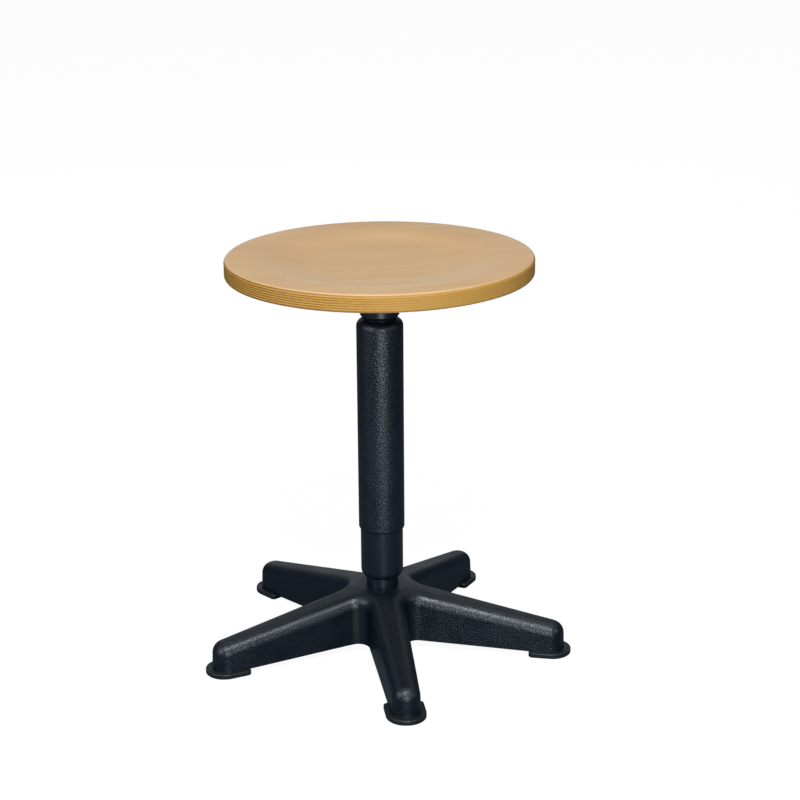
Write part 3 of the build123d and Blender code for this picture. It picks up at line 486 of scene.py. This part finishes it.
def beech_finish():
    """Lacquered beech: flecked face veneer, and crossed layers with glue lines on the edge."""
    material, tree, shader, place = start_material("lacquered_beech")
    parts = put(tree, "ShaderNodeSeparateXYZ", {"Vector": place})
    across = sum_of(tree, parts.outputs["X"], 2.0, "POWER")
    along = sum_of(tree, parts.outputs["Y"], 2.0, "POWER")
    radius = sum_of(tree, sum_of(tree, across, along), 0.5, "POWER")

    # Face veneer: long soft bands, fine pores along the grain, and the short flecks of beech.
    grain_way = put(tree, "ShaderNodeMapping", {
        "Vector": place, "Rotation": (0, 0, GRAIN_TURN), "Scale": (1.0, 9.0, 9.0)})
    bands = put(tree, "ShaderNodeTexNoise", {
        "Vector": grain_way.outputs["Vector"], "Scale": 5.0, "Detail": 4.0, "Distortion": 0.5})
    pore_way = put(tree, "ShaderNodeMapping", {
        "Vector": place, "Rotation": (0, 0, GRAIN_TURN), "Scale": (1.0, 22.0, 22.0)})
    pores = put(tree, "ShaderNodeTexNoise", {
        "Vector": pore_way.outputs["Vector"], "Scale": 90.0, "Detail": 5.0, "Roughness": 0.7})
    fleck_way = put(tree, "ShaderNodeMapping", {
        "Vector": place, "Rotation": (0, 0, GRAIN_TURN), "Scale": (1.0, 6.5, 6.5)})
    flecks = put(tree, "ShaderNodeTexVoronoi", {
        "Vector": fleck_way.outputs["Vector"], "Scale": 210.0, "Randomness": 1.0})
    fleck = put(tree, "ShaderNodeMapRange", {
        "Value": flecks.outputs["Distance"], "From Min": 0.10, "From Max": 0.26,
        "To Min": 1.0, "To Max": 0.0})
    face = colour_steps(tree, bands.outputs["Fac"],
                        (0.30, (0.505, 0.325, 0.158)), (0.50, (0.535, 0.350, 0.175)),
                        (0.70, (0.560, 0.372, 0.190)))
    pore_tone = colour_steps(tree, pores.outputs["Fac"], (0.36, 0.86), (0.60, 1.0))
    face = blend_colours(tree, 0.55, face, pore_tone, "MULTIPLY")
    face = blend_colours(tree, sum_of(tree, fleck.outputs["Result"], 0.22, "MULTIPLY"),
                         face, FLECK_BROWN)

    # Edge: the layer's number from its height, odd layers long grain and even ones end grain.
    under_rim = sum_of(tree, rim_top, parts.outputs["Z"], "SUBTRACT")
    layer = sum_of(tree, under_rim, ply, "DIVIDE")
    wander = put(tree, "ShaderNodeTexNoise", {"Vector": place, "Scale": 18.0, "Detail": 2.0})
    drift = put(tree, "ShaderNodeMapRange", {
        "Value": wander.outputs["Fac"], "To Min": -0.16, "To Max": 0.16})
    layer = sum_of(tree, layer, drift.outputs["Result"])
    pair = sum_of(tree, sum_of(tree, layer, 2.0, "DIVIDE"), 1.0, "FRACT")
    crossed = put(tree, "ShaderNodeMapRange", {
        "Value": pair, "From Min": 0.46, "From Max": 0.54}, interpolation_type="SMOOTHSTEP")
    back = put(tree, "ShaderNodeMapRange", {
        "Value": pair, "From Min": 0.93, "From Max": 1.0,
        "To Min": 1.0, "To Max": 0.0}, interpolation_type="SMOOTHSTEP")
    crossed = sum_of(tree, crossed.outputs["Result"], back.outputs["Result"], "MULTIPLY")
    heading = sum_of(tree, parts.outputs["Y"], parts.outputs["X"], "ARCTAN2")
    swing = sum_of(tree, sum_of(tree, heading, CROSS_TURN, "SUBTRACT"), 0.0, "COSINE")
    strength = put(tree, "ShaderNodeMapRange", {
        "Value": sum_of(tree, swing, swing, "MULTIPLY"), "To Min": 0.14, "To Max": 0.95})
    shade = sum_of(tree, crossed, strength.outputs["Result"], "MULTIPLY")
    end_way = put(tree, "ShaderNodeMapping", {"Vector": place, "Scale": (1.0, 1.0, 2.6)})
    end_grain = put(tree, "ShaderNodeTexNoise", {
        "Vector": end_way.outputs["Vector"], "Scale": 700.0, "Detail": 4.0, "Roughness": 0.7})
    edge = blend_colours(tree, shade, LONG_GRAIN, END_GRAIN)
    edge_tone = colour_steps(tree, end_grain.outputs["Fac"], (0.35, 0.80), (0.65, 1.05))
    edge = blend_colours(tree, 0.7, edge, edge_tone, "MULTIPLY")
    glue = sum_of(tree, sum_of(tree, layer, 1.0, "FRACT"), 0.5, "SUBTRACT")
    glue = sum_of(tree, glue, 0.0, "ABSOLUTE")
    glue_mask = put(tree, "ShaderNodeMapRange", {
        "Value": glue, "From Min": 0.44, "From Max": 0.5, "To Max": 0.45})
    edge = blend_colours(tree, glue_mask.outputs["Result"], edge, GLUE_BROWN)

    # The edge shows outside the rounding and between the two face veneers.
    outer = put(tree, "ShaderNodeMapRange", {
        "Value": radius, "From Min": board_radius - top_round - 0.0004,
        "From Max": board_radius - top_round + 0.0004})
    below_face = put(tree, "ShaderNodeMapRange", {
        "Value": layer, "From Min": 0.86, "From Max": 1.0})
    above_back = put(tree, "ShaderNodeMapRange", {
        "Value": layer, "From Min": PLY_COUNT - 1.0, "From Max": PLY_COUNT - 0.86,
        "To Min": 1.0, "To Max": 0.0})
    on_edge = sum_of(tree, outer.outputs["Result"], below_face.outputs["Result"], "MULTIPLY")
    on_edge = sum_of(tree, on_edge, above_back.outputs["Result"], "MULTIPLY")
    tone = blend_colours(tree, on_edge, face, edge)

    # Lacquer: cloudy gloss, and the pores telegraphing through as a very low relief.
    film = use(tree, handling, {"Place": place, "Scale": 14.0})
    soiled = put(tree, "ShaderNodeMapRange", {
        "Value": film.outputs["Cloud"], "From Min": 0.3, "From Max": 0.72, "To Max": 0.10})
    tone = blend_colours(tree, soiled.outputs["Result"], tone, SOILED_BROWN)
    tree.links.new(tone, shader.inputs["Base Color"])
    gloss = put(tree, "ShaderNodeMapRange", {
        "Value": film.outputs["Fine"], "From Min": 0.3, "From Max": 0.7,
        "To Min": 0.30, "To Max": 0.40})
    sanded = put(tree, "ShaderNodeMapRange", {
        "Value": on_edge, "To Min": 0.0, "To Max": 0.26})
    tree.links.new(sum_of(tree, gloss.outputs["Result"], sanded.outputs["Result"]),
                   shader.inputs["Roughness"])
    shader.inputs["Specular IOR Level"].default_value = 0.42
    rise = blend_colours(tree, on_edge, pore_tone, edge_tone)
    relief(tree, shader, rise, 0.00003, 0.6)
    return material


board = turn_up("seat_board_beech", board_profile(), BOARD_SIDES)
board.data.materials.append(beech_finish())
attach(board, "seat")
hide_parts("seat_board")


# ------------------------------------------------------------------ floor, light and camera
# A plain pale floor, surroundings that are white to look at and dim as a light, six soft boxes,
# and the camera in front of the stool, looking down on it.

bpy.ops.object.select_all(action="DESELECT")
bpy.ops.mesh.primitive_circle_add(vertices=96, radius=14.0, fill_type="NGON", location=(0, 0, 0))
floor = bpy.context.active_object
floor.name = "floor"
floor_paint = bpy.data.materials.new("floor_paint")
floor_paint.use_nodes = True
floor_shader = floor_paint.node_tree.nodes["Principled BSDF"]
# Seen directly the floor is pale and gives off most of its own brightness. As a light on the
# stool it is much dimmer.
seen = floor_paint.node_tree.nodes.new("ShaderNodeLightPath").outputs["Is Camera Ray"]
floor_tone = blend_colours(floor_paint.node_tree, seen, (0.09, 0.12, 0.15), (0.09, 0.09, 0.09))
floor_paint.node_tree.links.new(floor_tone, floor_shader.inputs["Base Color"])
floor_paint.node_tree.links.new(
    sum_of(floor_paint.node_tree, seen, 0.94, "MULTIPLY"), floor_shader.inputs["Emission Strength"])
floor_shader.inputs["Emission Color"].default_value = (1, 1, 1, 1)
floor_shader.inputs["Roughness"].default_value = 0.9
floor_shader.inputs["Specular IOR Level"].default_value = 0.0
floor.data.materials.append(floor_paint)

surroundings = bpy.data.worlds.new("surroundings")
surroundings.use_nodes = True
sky = surroundings.node_tree.nodes["Background"]
height_on_sky = put(surroundings.node_tree, "ShaderNodeSeparateXYZ", {
    "Vector": surroundings.node_tree.nodes.new("ShaderNodeTexCoord").outputs["Generated"]})
sky_tone = colour_steps(surroundings.node_tree, height_on_sky.outputs["Z"], (0.0, (0.020, 0.040, 0.065)),
                        (0.30, (0.030, 0.050, 0.075)), (0.9, (0.50, 0.50, 0.50)))
seen_sky = surroundings.node_tree.nodes.new("ShaderNodeLightPath").outputs["Is Camera Ray"]
surroundings.node_tree.links.new(
    blend_colours(surroundings.node_tree, seen_sky, sky_tone, (0.97, 0.97, 0.97)),
    sky.inputs["Color"])
bpy.context.scene.world = surroundings


def soft_box(name, place, target, width, height, power):
    """Rectangular area light at a place, turned to a target."""
    light = bpy.data.lights.new(name, "AREA")
    light.shape = "RECTANGLE"
    light.size = width
    light.size_y = height
    light.energy = power
    lamp = bpy.data.objects.new(name, light)
    lamp.visible_camera = False
    bpy.context.scene.collection.objects.link(lamp)
    away = Vector(place) - Vector(target)
    lamp.matrix_world = Matrix.Translation(place) @ away.to_track_quat("Z", "Y").to_matrix().to_4x4()
    return lamp


soft_box("key_box", (-0.16, -1.75, 2.35), (0, 0, 0.3), 0.36, 0.36, 60)
soft_box("low_box", (0.02, -1.5, 0.24), (0, 0, 0.27), 0.42, 0.30, 9.0)
soft_box("right_box", (1.7, -1.3, 1.0), (0, 0, 0.4), 0.5, 0.5, 5)
soft_box("left_box", (-1.75, -1.0, 0.95), (0, 0, 0.3), 0.5, 0.5, 17)
soft_box("back_box", (0.1, 3.2, 0.8), (0, 0, 0.4), 3.0, 0.7, 5)
soft_box("top_box", (0.3, 0.5, 3.0), (0, 0, 0), 2.2, 2.2, 14)

camera_data = bpy.data.cameras.new("camera")
camera_data.lens = 84.52
camera_data.sensor_width = 36.0
camera_data.shift_x = 0.075
camera_data.shift_y = 0.075
camera_data.clip_end = 60.0
camera = bpy.data.objects.new("camera", camera_data)
bpy.context.scene.collection.objects.link(camera)
heading = Matrix.Rotation(radians(-5.687), 4, "Z")
tilt = Matrix.Rotation(radians(90 - 19.895), 4, "X")
roll = Matrix.Rotation(radians(-1.044), 4, "Z")
camera.matrix_world = Matrix.Translation((-0.2524, -2.0496, 0.9778)) @ heading @ tilt @ roll
bpy.context.scene.camera = camera
bpy.context.scene.view_settings.view_transform = "Standard"
